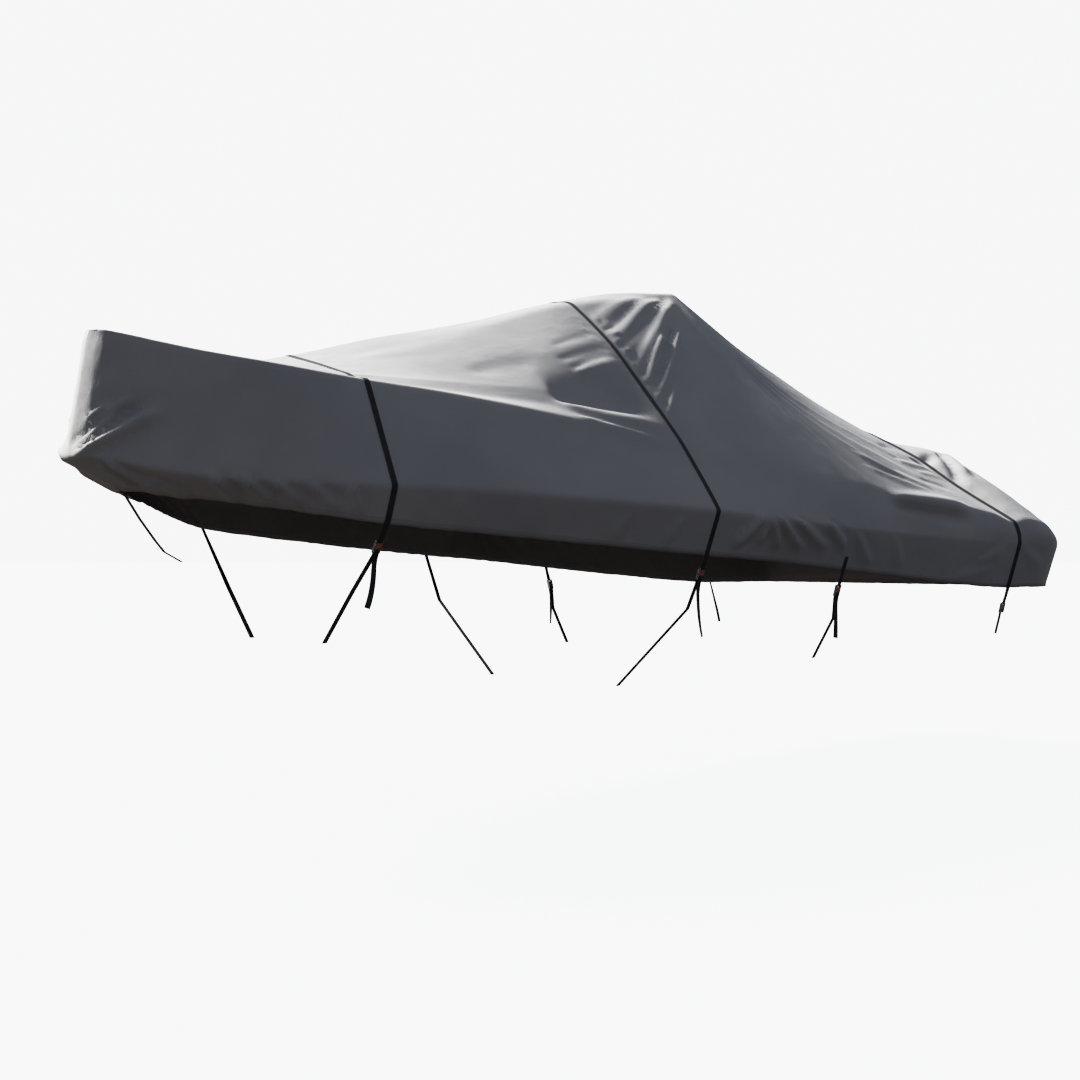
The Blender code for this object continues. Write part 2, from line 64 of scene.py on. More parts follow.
Section = namedtuple("Section", "s hem_y hem_h rub_y rub_h rail_y rail_h swell top crest shoulder flank dip")
SECTIONS = [Section(*row) for row in (
    (0.00, 0.000, 0.442, 0.000, 0.562, 0.000, 1.077, 0.000, 1.077, 0.000, 0.000, 0.000, 0.000),
    (0.03, 0.035, 0.441, 0.095, 0.560, 0.070, 1.075, -0.005, 1.073, 0.000, 0.000, 0.000, 0.000),
    (0.08, 0.070, 0.437, 0.152, 0.552, 0.112, 1.067, -0.006, 1.064, 0.000, 0.000, 0.000, 0.002),
    (0.16, 0.115, 0.428, 0.222, 0.532, 0.160, 1.052, -0.005, 1.044, 0.000, 0.000, 0.000, 0.004),
    (0.30, 0.205, 0.414, 0.325, 0.502, 0.238, 1.025, 0.000, 1.004, 0.000, 0.000, 0.000, 0.008),
    (0.47, 0.315, 0.396, 0.440, 0.480, 0.330, 0.995, 0.000, 0.975, 0.000, 0.000, 0.000, 0.012),
    (0.70, 0.505, 0.363, 0.600, 0.468, 0.440, 0.960, 0.000, 0.994, 0.000, 0.000, 0.000, 0.014),
    (1.03, 0.735, 0.308, 0.790, 0.460, 0.590, 0.908, 0.000, 1.058, 0.000, 0.000, -0.004, 0.014),
    (1.45, 0.865, 0.270, 0.930, 0.446, 0.722, 0.858, 0.000, 1.172, 0.010, 0.012, 0.000, 0.018),
    (2.00, 0.970, 0.225, 1.045, 0.418, 0.820, 0.784, 0.000, 1.300, 0.050, 0.055, 0.030, 0.012),
    (2.60, 1.043, 0.180, 1.120, 0.385, 0.885, 0.710, 0.004, 1.468, 0.098, 0.108, 0.068, 0.000),
    (3.05, 1.072, 0.150, 1.150, 0.352, 0.960, 0.630, 0.006, 1.570, 0.085, 0.085, 0.050, 0.000),
    (3.49, 1.092, 0.112, 1.165, 0.318, 1.030, 0.572, 0.008, 1.624, 0.010, 0.000, 0.010, 0.000),
    (4.00, 1.105, 0.070, 1.175, 0.292, 1.090, 0.508, 0.010, 1.388, -0.004, -0.010, 0.000, 0.000),
    (4.57, 1.110, 0.026, 1.180, 0.262, 1.132, 0.446, 0.012, 1.168, 0.008, 0.012, 0.006, 0.000),
    (4.88, 1.110, 0.006, 1.180, 0.250, 1.146, 0.405, 0.014, 1.042, 0.026, 0.034, 0.014, 0.000),
    (5.05, 1.105, 0.000, 1.180, 0.246, 1.150, 0.366, 0.010, 0.980, 0.035, 0.045, 0.012, 0.000),
    (5.20, 1.105, 0.000, 1.180, 0.242, 1.150, 0.388, 0.016, 0.926, 0.050, 0.100, 0.062, 0.000),
    (5.40, 1.100, 0.000, 1.176, 0.237, 1.142, 0.368, 0.022, 0.872, 0.070, 0.134, 0.092, 0.000),
    (5.585, 1.045, 0.000, 1.118, 0.228, 1.078, 0.342, 0.020, 0.805, 0.060, 0.120, 0.085, 0.000),
)]
BULGE_AT = (0.18, 0.42, 0.70)     # crest, shoulder and flank, as parts of the way from ridge to rail
DIP_AT, DIP_HALF = 0.88, 0.12

# A strap's station, its buckle, turn and far end, and its tail's length, sideways sway and twist in degrees.
Strap = namedtuple("Strap", "name s buckle_y buckle_h turn_y turn_h end_y end_h tail sway twist")
OVER_STRAPS = [Strap(*row) for row in (
    ("front", 1.03, 0.690, 0.235, 0.500, 0.035, 0.290, -0.190, 0.24, -0.42, 35),
    ("mid", 2.60, 1.020, 0.120, 0.926, -0.065, 0.468, -0.450, 0.28, 0.30, -25),
    ("rear", 5.05, 1.083, -0.090, 1.050, -0.185, 1.030, -0.260, 0.00, 0.00, 0),
)]
SIDE_STRAP = Strap("side", 3.55, 1.072, 0.030, 1.036, -0.130, 0.910, -0.335, 0.22, -0.05, 30)
BOW_STRAP = ((0.262, 0.430), (0.330, 0.330), (0.400, 0.241), (0.440, 0.196), (0.519, 0.155))
BUCKLE_LENGTH = 0.058
BAR_AT, BAR_RADIUS = (0.0045, 0.0080), 0.0018
CAM_AT, CAM_RADIUS = (0.0450, 0.0095), 0.0045
WEB_CLEAR = 0.0006
LAP_LENGTH = 0.035       # webbing that comes back round the bar
SEAM_GAP = 0.0004
BEHIND_BUCKLE = 0.012    # the lower webbing runs straight for this long past the buckle
MODEL_SKIRT_STEPS = 3    # the model's faces up the skirt, the lowest of which a side strap is sewn to

# ------------------------------------------------------------------ the fine mesh
# Stretches of stations and of half-girths, each as (from, to, faces): closest where the folds are finest.
# Every count is even, for the inner face takes each second line.
STATION_RUNS = ((0.0, 0.03, 6), (0.03, 0.20, 24), (0.20, 0.50, 22), (0.50, 1.013, 34), (1.013, 1.047, 2),
                (1.047, 2.00, 28), (2.00, 2.583, 38), (2.583, 2.617, 2), (2.617, 2.75, 16), (2.75, 3.49, 44),
                (3.49, 3.533, 4), (3.533, 3.567, 2), (3.567, 4.00, 20), (4.00, 4.60, 40),
                (4.60, 5.033, 26), (5.033, 5.067, 2), (5.067, 5.585, 30))
SKIRT_RUNS = ((0.0, 1.0, 12),)
SIDE_RUNS = ((1.0, 1.5, 16), (1.5, 2.0, 6))
TOP_RUNS = ((2.0, 2.15, 8), (2.15, 2.65, 40), (2.65, 3.0, 22))
SKIRT_STEPS, SIDE_STEPS, TOP_STEPS = (sum(run[2] for run in runs)
                                      for runs in (SKIRT_RUNS, SIDE_RUNS, TOP_RUNS))
EDGE = SKIRT_STEPS + SIDE_STEPS                  # the rail edge's place along a station
SIDE_SEWN = SKIRT_STEPS // MODEL_SKIRT_STEPS     # faces that a side strap is sewn to

# Folds of the cloth, each a ridge (depth over 0) or trough along a line from (s0, w0) to (s1, w1),
# which bows by bend in w.  Its flank to the right of the line, seen from outside on the port side, is
# gentler by skew (to the left for under 0), and has a slight trough on the steep side.
Crease = namedtuple("Crease", "s0 w0 s1 w1 bend depth width skew")
PEAK_FAN = [Crease(*row) for row in (
    (3.20, 2.92, 2.58, 2.66, 0.02, 0.005, 0.034, -0.6),
    (3.36, 2.95, 2.58, 2.51, 0.02, 0.010, 0.032, -0.7),
    (3.30, 2.88, 2.60, 2.42, 0.01, 0.006, 0.024, -0.8),
    (3.46, 2.97, 2.60, 2.33, 0.01, 0.016, 0.036, -0.7),
    (3.04, 2.63, 2.62, 2.27, 0.01, 0.013, 0.023, -0.8),
    (3.24, 2.72, 2.62, 2.20, 0.00, 0.020, 0.024, -0.8),
    (2.84, 2.33, 2.63, 2.13, 0.00, 0.012, 0.019, -0.8),
)]
RAIL_TONGUES = [Crease(*row) for row in (
    (1.98, 2.19, 2.62, 2.14, 0.00, -0.035, 0.055, -2.4),
    (2.00, 2.04, 2.56, 1.91, 0.01, 0.010, 0.024, 0.5),
    (2.24, 2.36, 2.60, 2.43, 0.00, 0.008, 0.032, 0.8),
    (1.66, 2.38, 2.14, 2.50, 0.00, -0.006, 0.080, 0.0),
    (2.20, 2.45, 2.60, 2.51, 0.00, -0.0045, 0.036, 0.0),
    (2.24, 2.55, 2.60, 2.61, 0.00, -0.003, 0.030, 0.0),
    (1.20, 2.66, 2.10, 2.79, 0.00, 0.004, 0.060, 0.4),
)]
# Small puckers where the straps draw the cloth: (strap station, to side, w from, w to, count, depth, width).
PUCKERS = (
    (2.60, 1, 2.18, 2.70, 17, 0.0024, 0.013),
    (2.60, -1, 2.40, 2.72, 6, 0.0020, 0.016),
    (5.05, -1, 2.02, 2.60, 9, 0.0012, 0.014),
    (5.05, 1, 2.05, 2.80, 8, 0.0025, 0.014),
    (1.03, -1, 2.20, 2.80, 5, 0.0025, 0.016),
    (1.03, 1, 2.20, 2.80, 5, 0.0025, 0.016),
)
PUCKER_START, PUCKER_REACH = 0.014, (0.06, 0.16)
PUCKER_RISE, PUCKER_TOP = 0.06, 2.95


def puckers(seed):
    """Short creases that run out of the straps, uneven in length, place and depth."""
    pick = np.random.default_rng(seed)
    made = []
    for station, way, low, high, count, depth, width in PUCKERS:
        for k in range(count):
            w = low + (high - low) * (k + pick.uniform(0.1, 0.9)) / count
            reach, rise = pick.uniform(*PUCKER_REACH), PUCKER_RISE * pick.uniform(0.3, 1.3)
            made.append(Crease(station + way * PUCKER_START, w, station + way * reach,
                               min(w + rise, PUCKER_TOP), 0.0, depth * pick.uniform(0.5, 1.2),
                               width * pick.uniform(0.8, 1.3), -way * 0.8))
    return made


REAR_LINES = [Crease(*row) for row in (
    (3.58, 2.90, 4.60, 2.20, -0.10, 0.006, 0.035, 0.7),
    (3.56, 2.86, 4.40, 2.10, -0.12, 0.007, 0.035, 0.7),
    (3.62, 2.92, 4.80, 2.34, -0.06, 0.006, 0.035, 0.7),
    (3.56, 2.80, 3.90, 1.90, -0.10, 0.007, 0.040, 0.6),
    (3.54, 2.70, 3.66, 1.95, -0.06, 0.006, 0.040, 0.6),
    (4.00, 2.27, 4.50, 2.09, 0.00, 0.008, 0.024, 0.8),
    (3.98, 2.17, 4.48, 2.05, 0.00, 0.009, 0.024, 0.8),
    (4.30, 2.21, 4.50, 2.12, 0.00, 0.006, 0.022, 0.8),
    (3.90, 1.80, 4.70, 1.90, 0.00, 0.042, 0.038, -0.6),
)]
STERN_HUMP = [Crease(*row) for row in (
    (4.58, 2.48, 5.02, 2.62, 0.00, -0.005, 0.040, 0.0),
    (4.84, 2.45, 5.26, 2.57, 0.00, -0.022, 0.040, 0.0),
    (5.34, 2.60, 5.08, 2.32, -0.03, -0.022, 0.040, 0.0),
    (5.42, 2.60, 5.20, 2.34, -0.02, 0.014, 0.040, 0.3),
    (4.48, 2.19, 4.80, 2.18, 0.00, -0.006, 0.035, 0.0),
    (4.50, 2.34, 4.98, 2.42, 0.00, 0.006, 0.030, 0.5),
    (4.60, 2.28, 5.00, 2.36, 0.00, 0.005, 0.028, 0.5),
)]
BOW_FOLDS = [Crease(*row) for row in (
    (0.00, 1.00, 0.29, 1.52, 0.02, 0.032, 0.025, 0.4),
    (0.00, 1.06, 0.13, 1.42, 0.00, 0.018, 0.018, 0.4),
    (0.07, 1.36, 0.19, 1.57, 0.00, 0.016, 0.017, 0.4),
    (0.02, 1.30, 0.10, 1.46, 0.00, 0.009, 0.014, 0.4),
    (0.02, 1.52, 0.10, 1.63, 0.00, 0.008, 0.014, 0.4),
    (0.01, 1.96, 0.08, 1.88, 0.00, 0.008, 0.014, 0.4),
    (0.02, 1.90, 0.08, 1.78, 0.00, 0.008, 0.014, 0.4),
    (0.02, 1.83, 0.08, 1.70, 0.00, 0.007, 0.014, 0.4),
    (0.00, 1.02, 0.14, 1.04, 0.00, 0.005, 0.014, 0.5),
)]
SKIRT_FOLDS = [Crease(*row) for row in (
    (0.05, 0.90, 0.12, 0.10, 0.00, 0.019, 0.019, 0.6),
    (0.08, 0.98, 0.24, 0.15, 0.02, 0.024, 0.021, 0.7),
    (0.20, 0.70, 0.34, 0.06, 0.00, 0.019, 0.021, 0.6),
    (0.42, 1.10, 0.54, 0.08, 0.00, 0.024, 0.022, 0.7),
    (0.52, 1.08, 0.66, 0.15, 0.00, 0.024, 0.022, 0.7),
    (0.62, 1.04, 0.76, 0.15, 0.00, 0.021, 0.022, 0.7),
    (0.74, 1.00, 0.88, 0.10, 0.00, 0.019, 0.022, 0.7),
    (0.88, 0.96, 0.95, 0.10, 0.00, 0.018, 0.019, 0.6),
    (1.12, 0.90, 1.18, 0.08, 0.00, 0.010, 0.022, 0.5),
    (1.30, 0.80, 1.38, 0.06, 0.00, 0.008, 0.026, 0.5),
    (1.60, 0.70, 1.64, 0.06, 0.00, 0.008, 0.027, 0.5),
    (2.10, 0.75, 2.06, 0.06, 0.00, 0.008, 0.027, 0.5),
    (2.40, 0.80, 2.34, 0.06, 0.00, 0.008, 0.026, 0.5),
    (2.90, 1.02, 2.74, 0.15, 0.00, 0.022, 0.022, 0.6),
    (2.92, 1.00, 2.92, 0.30, 0.00, 0.019, 0.019, 0.6),
    (2.94, 1.02, 3.06, 0.25, 0.00, 0.022, 0.021, 0.6),
    (2.98, 1.06, 3.24, 0.30, 0.00, 0.022, 0.022, 0.6),
    (3.10, 1.06, 3.42, 0.40, 0.00, 0.019, 0.022, 0.6),
    (3.34, 1.10, 3.56, 0.45, 0.00, 0.018, 0.022, 0.6),
    (3.56, 1.00, 3.76, 0.15, 0.00, 0.016, 0.022, 0.6),
    (3.90, 0.90, 4.02, 0.15, 0.00, 0.008, 0.027, 0.5),
    (4.66, 0.50, 4.96, 0.95, 0.00, 0.010, 0.030, 0.5),
    (4.50, 0.18, 4.88, 0.44, 0.00, 0.008, 0.027, 0.5),
    (5.12, 0.90, 5.40, 0.40, 0.00, 0.008, 0.030, 0.5),
)]
PORT_FOLDS = PEAK_FAN + RAIL_TONGUES + REAR_LINES + STERN_HUMP + BOW_FOLDS + SKIRT_FOLDS
# The far side has folds of the same kinds in other places, and gentler ones along its skirt.
STARBOARD_SHIFT, STARBOARD_SCATTER, STARBOARD_LIFT = 0.05, 0.06, 0.04
STARBOARD_SIZES, STARBOARD_SKIRT = (0.7, 1.15), 0.6
CREASE_STEPS = 8
CREASE_REACH = 2.6       # widths of a crease from its line to where it ends
CREASE_START = 0.6       # part of its width that a crease starts with
RISE_SHARE, FALL_SHARE = 0.15, 0.35      # parts of a crease's length in which it rises and dies out
TROUGH, TROUGH_AT = 0.35, 1.6
BROAD = 0.060            # creases wider than this carry on under a strap
RELAX_ROUNDS = 2
HEM_WAVE, HEM_WAVE_RISE = 0.008, 0.07
HEM_WAVE_FADE = 1.6      # the hem is wavier towards the bow
# Unevenness of the whole cloth, and the finer one that straps press flat: height, lengths and seed.
UNEVEN, FINE_UNEVEN = (0.0020, (0.35, 0.22, 0.22), 3.0), (0.0007, (0.11, 0.08, 0.08), 11.0)

GROUND = -2.614          # the ground under the trailer that carries the boat


# ------------------------------------------------------------------ the cloth's form
def smooth_table(knots, values, at):
    """Cubic through a table's rows that never overshoots them; a row may vary from point to point."""
    knots = np.asarray(knots, float)
    values = np.stack([np.broadcast_to(np.asarray(v, float), at.shape) for v in values])
    gaps = np.diff(knots).reshape((-1,) + (1,) * at.ndim)
    rises = np.diff(values, axis=0) / gaps
    before, after = rises[:-1], rises[1:]
    near, far = 2 * gaps[1:] + gaps[:-1], gaps[1:] + 2 * gaps[:-1]
    with np.errstate(divide="ignore", invalid="ignore"):
        mean = (near + far) / (near / before + far / after)
    slopes = np.empty_like(values)
    slopes[0], slopes[-1] = rises[0], rises[-1]
    slopes[1:-1] = np.where(before * after > 0, mean, 0.0)
    i = np.clip(np.searchsorted(knots, at, side="right") - 1, 0, len(knots) - 2)
    gap = np.diff(knots)[i]
    u = np.clip((at - knots[i]) / gap, 0, 1)

    def take(table):
        return np.take_along_axis(table, i[None], axis=0)[0]

    rise = take(np.diff(values, axis=0))
    start, end = take(slopes[:-1]) * gap, take(slopes[1:]) * gap
    return take(values[:-1]) + u * (start + u * (3 * rise - 2 * start - end + u * (start + end - 2 * rise)))


def column(name, s):
    """A column of the sections' table at stations s."""
    return smooth_table([row.s for row in SECTIONS], [getattr(row, name) for row in SECTIONS], s)


def ease(u):
    """0 to 1 with flat ends."""
    u = np.clip(u, 0, 1)
    return u * u * (3 - 2 * u)


def set_back(s, bow, stern):
    """How far aft of its station a line of the cloth lies: the bow rakes, and the stern leans in."""
    fore, aft = np.clip(1 - s / BOW_FADE, 0, 1), np.clip(1 - (LENGTH - s) / STERN_FADE, 0, 1)
    return bow * fore ** 2 - stern * aft ** 2


def ridge_height(s):
    """Height of the ridge, with a corner at the peak."""
    fore = [row for row in SECTIONS if row.s <= PEAK_S]
    aft = [row for row in SECTIONS if row.s >= PEAK_S]
    low, high = (smooth_table([r.s for r in rows], [r.top for r in rows], s) for rows in (fore, aft))
    return np.where(s < PEAK_S, low, high)


def cloth_point(side, s, w):
    """Points of the smooth cloth's outer face at stations s and half-girths w."""
    s, w = (np.array(a, float) for a in np.broadcast_arrays(s, w))
    get = {name: column(name, s) for name in Section._fields[1:]}
    hem = np.stack([s + set_back(s, BOW_HEM_SET, STERN_HEM_SET), get["hem_y"], get["hem_h"]], -1)
    rub = np.stack([s + set_back(s, BOW_RUB_SET, 0.0), get["rub_y"], get["rub_h"]], -1)
    rail = np.stack([s + set_back(s, BOW_RAIL_SET, STERN_RAIL_SET), get["rail_y"], get["rail_h"]], -1)
    skirt = hem + (rub - hem) * np.clip(w, 0, 1)[..., None]
    up = np.clip(w - 1, 0, 1)
    flank = rub + (rail - rub) * up[..., None]
    flank[..., 1] = np.maximum(0.0, flank[..., 1] + get["swell"] * np.sin(math.pi * up))
    out = 1 - np.clip(w - 2, 0, 1)
    ridge = ridge_height(s)
    bulge = smooth_table((0.0, *BULGE_AT, 1.0), (0.0, get["crest"], get["shoulder"], get["flank"], 0.0), out)
    sag = get["dip"] * np.clip(1 - abs(out - DIP_AT) / DIP_HALF, 0, 1)
    top = np.stack([rail[..., 0], rail[..., 1] * out, ridge + (rail[..., 2] - ridge) * out + bulge - sag], -1)
    point = np.where(w[..., None] < 1, skirt, np.where(w[..., None] < 2, flank, top))
    return point * (1, side, 1) - (PEAK_S, 0, PEAK_H + CLOTH)


def grid_faces(index):
    """Quads between a grid's vertex numbers."""
    return np.stack([index[:-1, :-1], index[1:, :-1], index[1:, 1:], index[:-1, 1:]], -1).reshape(-1, 4)


def spaced(runs):
    """Values through runs of (from, to, faces)."""
    return np.concatenate([[0.0]] + [np.linspace(a, b, n + 1)[1:] for a, b, n in runs])


def transom_panel(loft):
    """Points of the upright end: rows from the top's edge down to the hem, each from port to starboard."""
    across = np.linspace(-1, 1, 2 * TOP_STEPS + 1)
    edge, head = loft[-1, EDGE::-1], loft[-1, EDGE:-EDGE]
    fall = (edge[0, 2] - edge[:, 2]) / (edge[0, 2] - edge[-1, 2])
    bulge = TRANSOM_BULGE * np.clip(2.5 * fall, 0, 1)[:, None] * (1 - across ** 2)[None]
    return np.stack([edge[:, :1] + bulge, abs(edge[:, 1:2]) * across[None],
                     head[None, :, 2] + (edge[-1, 2] - head[None, :, 2]) * fall[:, None]], -1)


def cover_grid():
    """Outer face: points, vertex numbers of loft and transom, weave and hem UVs, and the stations."""
    s, w = spaced(STATION_RUNS), spaced(SKIRT_RUNS + SIDE_RUNS + TOP_RUNS)
    port = cloth_point(PORT, s[:, None], w[None])
    starboard = cloth_point(STARBOARD, s[:, None], w[None, :-1])[:, ::-1]
    loft = np.concatenate([port, starboard], axis=1)
    index = np.arange(loft.shape[0] * loft.shape[1]).reshape(loft.shape[:2])
    count, last, middle = index.size, index[-1].copy(), index.shape[1] // 2
    index[0, EDGE:-EDGE] = index[0, EDGE]
    index[0, middle + 1:] = index[0, :middle][::-1]
    panel = transom_panel(loft)
    inside = panel[1:, 1:-1]
    transom = np.empty(panel.shape[:2], int)
    transom[0], transom[:, 0], transom[:, -1] = last[EDGE:-EDGE], last[EDGE::-1], last[-EDGE - 1:]
    transom[1:, 1:-1] = count + np.arange(inside.shape[0] * inside.shape[1]).reshape(inside.shape[:2])
    points = np.concatenate([loft.reshape(-1, 3), inside.reshape(-1, 3)])
    weave, hem = cloth_uvs(s, loft, inside)
    return points, index, transom, weave, hem, s


def cloth_uvs(s, loft, inside):
    """In metres, the weave's places, and along and up from the hem, for the loft and then the transom."""
    girth = np.linalg.norm(np.diff(loft, axis=1), axis=2).cumsum(1)
    girth = np.concatenate([np.zeros((len(s), 1)), girth], 1)
    along = np.broadcast_to(s[:, None], girth.shape)
    weave = np.stack([along, girth - girth[:, -1:] / 2], -1).reshape(-1, 2)
    weave = np.concatenate([weave, inside[..., (2, 1)].reshape(-1, 2)])
    hem = np.stack([along, np.minimum(girth, girth[:, -1:] - girth)], -1).reshape(-1, 2)
    across_and_up = np.stack([inside[..., 1], inside[..., 2] - loft[-1, 0, 2]], -1)
    return weave, np.concatenate([hem, across_and_up.reshape(-1, 2)])


def vertex_normals(points, faces):
    """Unit normals of a quad mesh, each face weighed by its area."""
    a, b, c, d = (points[faces[:, k]] for k in range(4))
    face = np.cross(c - a, d - b)
    total = np.zeros_like(points)
    for k in range(4):
        np.add.at(total, faces[:, k], face)
    return total / np.maximum(np.linalg.norm(total, axis=1), 1e-12)[:, None]


def relax(points, faces, fixed, rounds, strength=0.5):
    """Rounds corners: each point moves towards the middle of its neighbours."""
    edges = np.concatenate([faces[:, (k, (k + 1) % 4)] for k in range(4)])
    edges = np.unique(np.sort(edges[edges[:, 0] != edges[:, 1]], axis=1), axis=0)
    counts = np.maximum(np.bincount(edges.ravel(), minlength=len(points)), 1)[:, None]
    for _ in range(rounds):
        total = np.zeros_like(points)
        np.add.at(total, edges[:, 0], points[edges[:, 1]])
        np.add.at(total, edges[:, 1], points[edges[:, 0]])
        move = strength * (total / counts - points)
        move[fixed] = 0
        points = points + move
    return points


def crease_height(points, normals, side, crease):
    """Which points a crease reaches, and how high it lifts them."""
    u = np.linspace(0, 1, CREASE_STEPS + 1)
    w = crease.w0 + (crease.w1 - crease.w0) * u + crease.bend * 4 * u * (1 - u)
    path = cloth_point(side, crease.s0 + (crease.s1 - crease.s0) * u, w)
    reach = CREASE_REACH * crease.width * (1 + abs(crease.skew))
    near = np.nonzero(((points > path.min(0) - reach) & (points < path.max(0) + reach)).all(1))[0]
    best = np.full(len(near), np.inf)
    along, hand = np.zeros(len(near)), np.ones(len(near))
    for k in range(CREASE_STEPS):
        run = path[k + 1] - path[k]
        t = np.clip((points[near] - path[k]) @ run / (run @ run), 0, 1)
        off = points[near] - path[k] - t[:, None] * run
        away = np.linalg.norm(off, axis=1)
        closer = away < best
        best = np.where(closer, away, best)
        along = np.where(closer, (k + t) / CREASE_STEPS, along)
        hand = np.where(closer, np.sign((off * np.cross(normals[near], run)).sum(1)) * side, hand)
    width = crease.width * (CREASE_START + (1 - CREASE_START) * ease(along / 0.6))
    t = best * hand * (np.sign(crease.skew) or 1.0) / width
    t = np.where(t > 0, t / (1 + abs(crease.skew)), t)
    trough = TROUGH * np.exp(-(t + TROUGH_AT) ** 2) * (crease.skew != 0)
    taper = ease(along / RISE_SHARE) * ease((1 - along) / FALL_SHARE)
    return near, crease.depth * taper * (np.exp(-t * t) - trough)


def strap_freedom(points, half, fade):
    """0 under a strap, 1 well away from it."""
    away = np.min([abs(points[:, 0] - (strap.s - PEAK_S)) for strap in OVER_STRAPS], axis=0)
    side_top = cloth_point(PORT, SIDE_STRAP.s, 1.2)[2]
    side = abs(points[:, 0] - (SIDE_STRAP.s - PEAK_S)) + 10 * np.clip(points[:, 2] - side_top, 0, None)
    return ease((np.minimum(away, side) - half) / fade)


def ripple(points, size, seed):
    """Smooth noise, about -1 to 1, over lengths of the given size along x, y and z."""
    scaled = points / np.asarray(size) + seed
    return np.array([noise.noise(p) for p in scaled.tolist()])


def starboard_folds():
    """The port folds' kinds, shifted and scattered except at the bow, the stern and the skirt."""
    scatter = np.random.default_rng(7)
    folds = []
    for fold in PORT_FOLDS:
        move = STARBOARD_SHIFT + scatter.normal(0, STARBOARD_SCATTER)
        lift = scatter.normal(0, STARBOARD_LIFT)
        if fold in BOW_FOLDS or fold.s0 < 0.3 or fold.s1 > 5.3:
            move, lift = 0.0, 0.0
        size = scatter.uniform(*STARBOARD_SIZES)
        if fold in SKIRT_FOLDS:
            move, lift, size = STARBOARD_SHIFT, 0.0, STARBOARD_SKIRT
        folds.append(fold._replace(s0=fold.s0 + move, s1=fold.s1 + move, w0=min(2.95, fold.w0 + lift * 0.5),
                                   w1=max(0.05, fold.w1 + lift), depth=fold.depth * size))
    return folds


def uneven(points, height, lengths, seed):
    return height * ripple(points, lengths, seed)


def folded_cover():
    """Grid of the cover with its corners rounded and its folds raised."""
    points, index, transom, weave, hem, s = cover_grid()
    faces = np.concatenate([grid_faces(index), grid_faces(transom)])
    fixed = np.unique(np.concatenate([index[:, 0], index[:, -1], transom[-1]]))
    points = relax(points, faces, fixed, RELAX_ROUNDS)
    normals = vertex_normals(points, faces)
    height = np.zeros(len(points))
    free = strap_freedom(points, PRESS_HALF, PRESS_EASE)
    for side, folds in ((PORT, PORT_FOLDS + puckers(3)), (STARBOARD, starboard_folds() + puckers(5))):
        for crease in folds:
            near, lift = crease_height(points, normals, side, crease)
            mine = points[near, 1] * side > -0.01
            pressed = 1.0 if crease.width * (1 + abs(crease.skew)) > BROAD else free[near]
            height[near] += lift * mine * pressed
    height += uneven(points, *UNEVEN)
    height += uneven(points, *FINE_UNEVEN) * free
    points = points + normals * height[:, None]
    points[:, 2] += hem_wave(points, hem, free)
    flatten_under_straps(points, index, s)
    return points, index, transom, weave, hem, s


def hem_wave(points, hem, free):
    """How far each point rises in the hem's small waves."""
    low = ease(1 - hem[:, 1] / HEM_WAVE_RISE) * free
    low *= 0.3 + 0.7 * np.exp(-(points[:, 0] + PEAK_S) / HEM_WAVE_FADE)
    return HEM_WAVE * low * ripple(points * (1, 1, 0), (0.06, 0.06, 1.0), 21.0)


def flatten_under_straps(points, index, s):
    """Puts the cloth under each strap's middle on the line between its two edges."""
    for strap in OVER_STRAPS + [SIDE_STRAP]:
        i = int(np.abs(s - strap.s).argmin())
        rows = index[i]
        if strap is SIDE_STRAP:
            rows = np.concatenate([rows[:SKIRT_STEPS], rows[-SKIRT_STEPS:]])
        before, after = (index[i + k][np.isin(index[i], rows)] for k in (-1, 1))
        points[rows] = (points[before] + points[after]) / 2


# ------------------------------------------------------------------ pieces
def piece(name, mesh, material, slot, *nodes):
    """Puts a mesh on the scene with its material, in place of the model's nodes."""
    made = bpy.data.objects.new(name, mesh)
    bpy.context.scene.collection.objects.link(made)
    mesh.materials.clear()
    mesh.materials.append(material)
    mesh.shade_smooth()
    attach(made, "root")
    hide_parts(*nodes)
    return made


def set_uvs(mesh, name, values):
    """A UV map from one pair of values for each vertex."""
    loops = np.empty(len(mesh.loops), np.int32)
    mesh.loops.foreach_get("vertex_index", loops)
    layer = mesh.uv_layers.new(name=name)
    layer.data.foreach_set("uv", values[loops].astype(np.float32).ravel())


def make_cover(grid, material):
    """The cloth as one closed sheet: fine outer face, inner face of half its lines, and a closed hem."""
    points, index, transom, weave, hem, _ = grid
    outer = np.concatenate([grid_faces(index), grid_faces(transom)])
    inward = points - vertex_normals(points, outer) * CLOTH
    inner = np.concatenate([grid_faces(grid[::2, ::2]) for grid in (index, transom)])[:, ::-1] + len(points)
    border = np.concatenate([index[:, 0], transom[-1, 1:], index[-2::-1, -1]])
    closing = [(*border[k:k + 3][::-1], border[k] + len(points), border[k + 2] + len(points))
               for k in range(0, len(border) - 2, 2)]
    faces = [tuple(dict.fromkeys(face)) for face in outer.tolist() + inner.tolist() + closing]
    faces = [face for face in faces if len(face) > 2]
    used = np.zeros(2 * len(points), bool)
    used[[v for face in faces for v in face]] = True
    number = used.cumsum() - 1
    mesh = bpy.data.meshes.new("cover_cloth")
    both = np.concatenate([points, inward])
    mesh.from_pydata(both[used].tolist(), [], [[int(number[v]) for v in face] for face in faces])
    set_uvs(mesh, "weave", np.concatenate([weave, weave])[used])
    set_uvs(mesh, "hem", np.concatenate([hem, hem])[used])
    return piece("cover_cloth", mesh, material, "cloth", "cover")


# ------------------------------------------------------------------ webbing
def place(s, y, h):
    """A point given in the boat's station, half-breadth and height."""
    return Vector((s - PEAK_S, y, h - PEAK_H - CLOTH))


